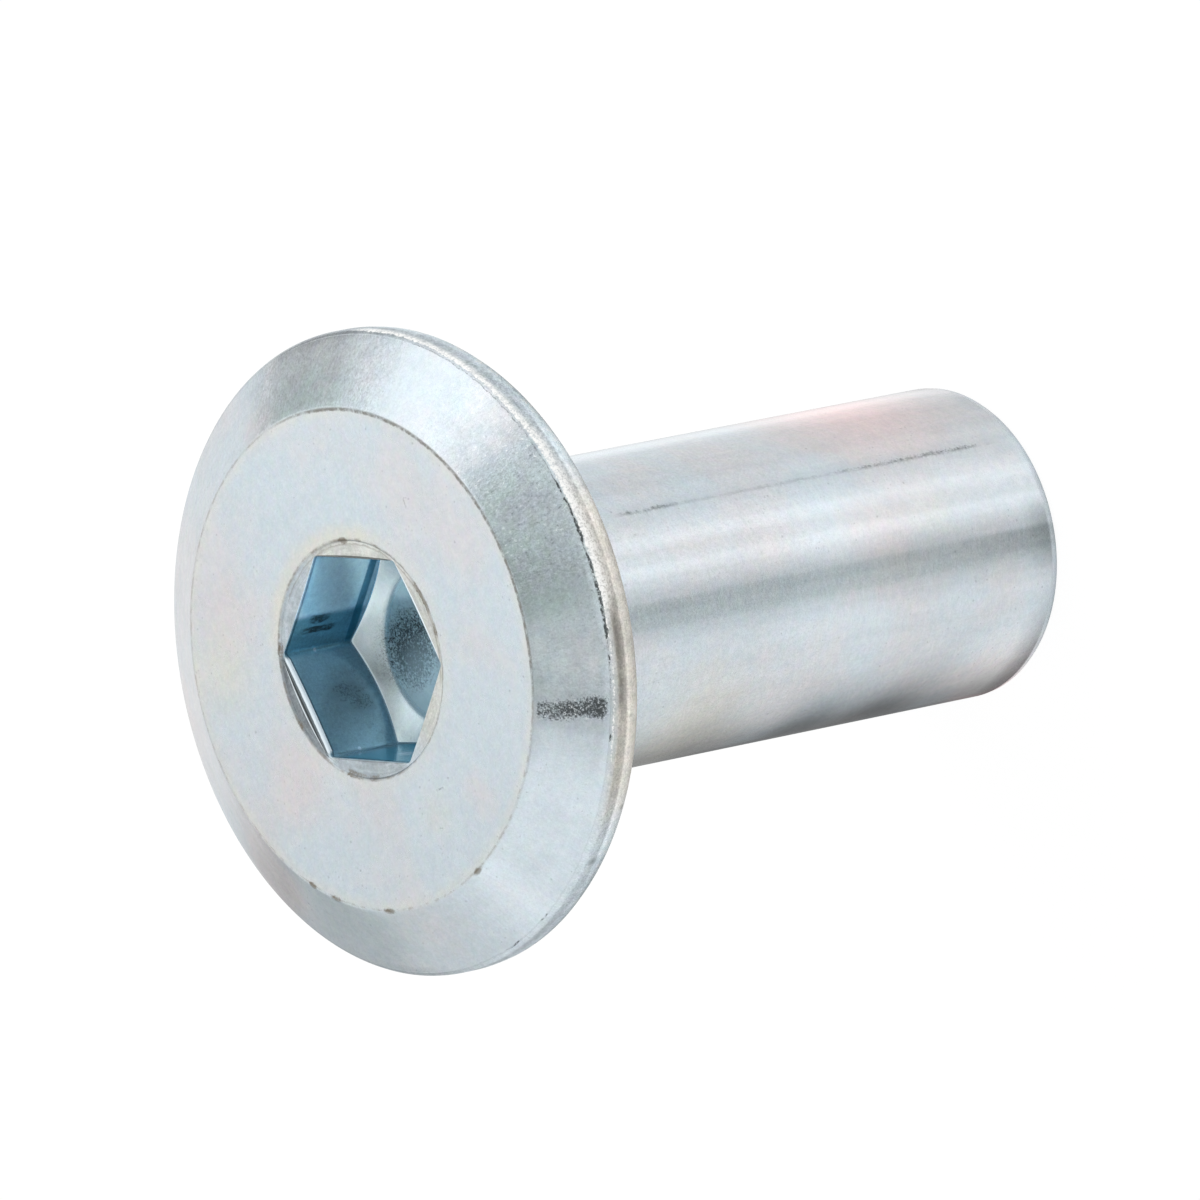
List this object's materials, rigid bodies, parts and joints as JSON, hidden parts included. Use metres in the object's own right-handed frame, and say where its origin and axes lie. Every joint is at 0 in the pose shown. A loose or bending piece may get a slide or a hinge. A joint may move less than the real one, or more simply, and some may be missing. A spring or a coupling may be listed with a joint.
{
  "type": "connector cap nut",
  "caption": "Sleeve cap nut: wide flat bevelled head with a hexagon socket on a plain round sleeve, tapped blind from its open end.",
  "frame": {"origin": "centre of the sleeve's open end face, on the nut's axis", "axes": "+Z along the nut's axis from the open end through the head and out of the socket; +X through a corner of the hexagon socket"},
  "size_m": [0.0162, 0.016, 0.0202],
  "materials": {
    "zinc_plate": "satin zinc plating with a faint blue tint over cold-formed steel"
  },
  "bodies": {
    "root": {"cap_nut": "zinc_plate"}
  },
  "joints": []
}
